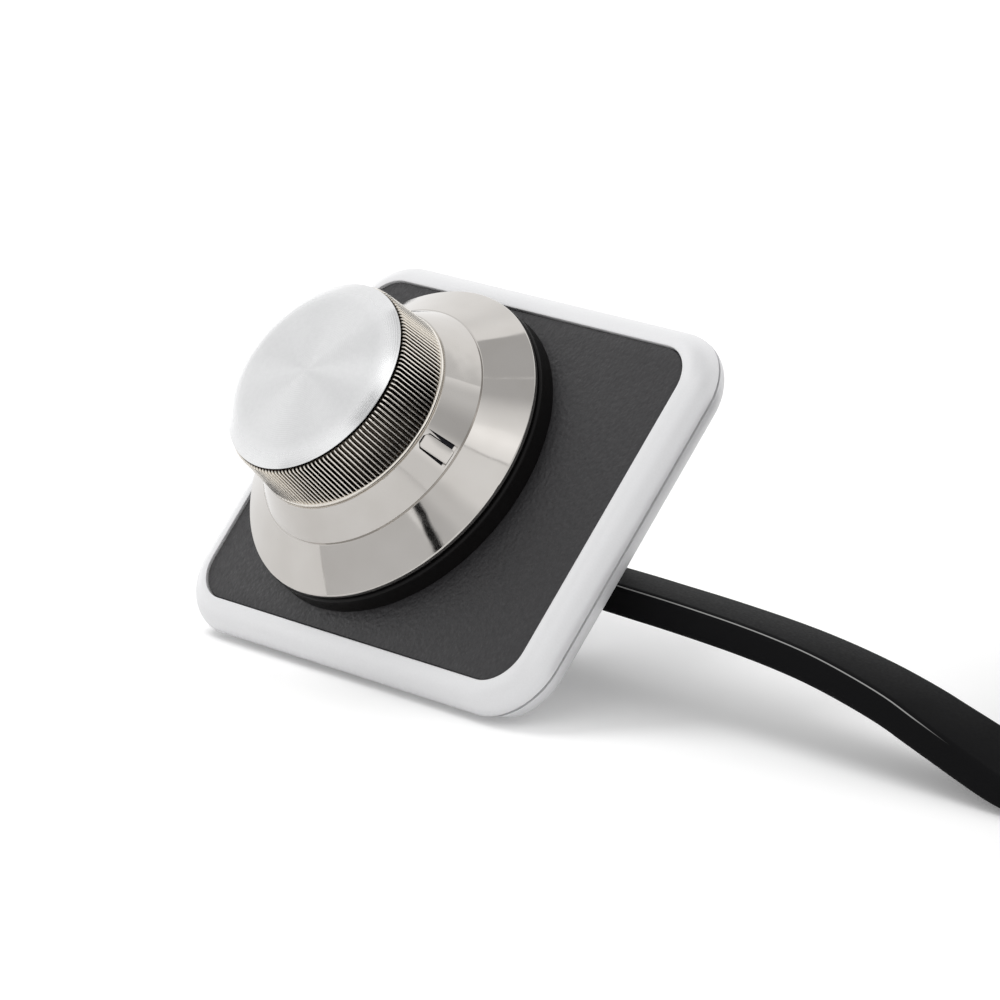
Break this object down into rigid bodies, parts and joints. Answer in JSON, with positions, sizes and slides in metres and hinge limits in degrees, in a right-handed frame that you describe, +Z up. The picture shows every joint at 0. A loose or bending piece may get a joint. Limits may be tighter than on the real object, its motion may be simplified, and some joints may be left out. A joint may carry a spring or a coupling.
{
  "type": "bass level control knob",
  "caption": "Turning level knob with a flared bright skirt and knurled grip on a small inclined framed plate, with a rear housing and a coiled flat cord.",
  "frame": {"origin": "on the supporting surface, straight below the middle of the dark panel, in the level face of the foot's mounting pad", "axes": "+X along the plate's lower edge to the right seen from the front, +Y to the back, +Z up; the plate leans back, 50 degrees from the surface"},
  "size_m": [0.1568, 0.1258, 0.0298],
  "materials": {
    "satin_frame": "satin silver paint, very fine grain",
    "panel_black": "fine pebbled texture",
    "adhesive": "matt foam or film",
    "ring_black": "satin black",
    "chrome": "polished plating, slightly warm",
    "knurl_metal": "polished ridges",
    "cap_aluminium": "fine turned satin",
    "housing_grey": "fine moulded texture",
    "steel": "bright zinc",
    "brass": "turned",
    "pot_plastic": "moulded",
    "wiper_plastic": "moulded",
    "track_carbon": "matt carbon ink",
    "board_green": "solder mask",
    "wire_insulation": "smooth",
    "cord_jacket": "smooth vinyl, satin",
    "relief_rubber": "moulded",
    "tie_strap": "hook and loop strap",
    "plug_clear": "clear polycarbonate",
    "contact_gold": "gold plated"
  },
  "bodies": {
    "base": {"front_bezel": "satin_frame", "face_panel": "panel_black", "panel_adhesive": "adhesive", "base_ring": "ring_black", "rear_shell": "satin_frame", "shell_screws": "steel", "mounting_pad": "adhesive", "strain_relief": "relief_rubber", "pot_housing": "pot_plastic", "pot_bushing": "brass", "pot_washer": "steel", "pot_nut": "steel", "pot_track": "track_carbon", "pot_pins": "steel", "circuit_board": "board_green", "lead_wires": "wire_insulation", "cable_lead": "cord_jacket", "cable_coil": "cord_jacket", "cable_tail": "cord_jacket", "cable_tie": "tie_strap", "plug_body": "plug_clear", "plug_contacts": "contact_gold"},
    "knob": {"pot_shaft": "steel", "pot_wiper": "wiper_plastic", "hub_insert": "brass", "spring_clip": "steel", "knob_body": "chrome", "index_bar": "chrome", "knurled_ring": "knurl_metal", "cap_adhesive": "adhesive", "knob_cap": "cap_aluminium"}
  },
  "joints": [
    {"name": "knob_turn", "type": "hinge", "parent": "base", "child": "knob", "pos_m": [-0.0045, 0.00045, 0.01545], "axis": [0, -0.766, 0.6428], "range_deg": [-55, 245]}
  ]
}
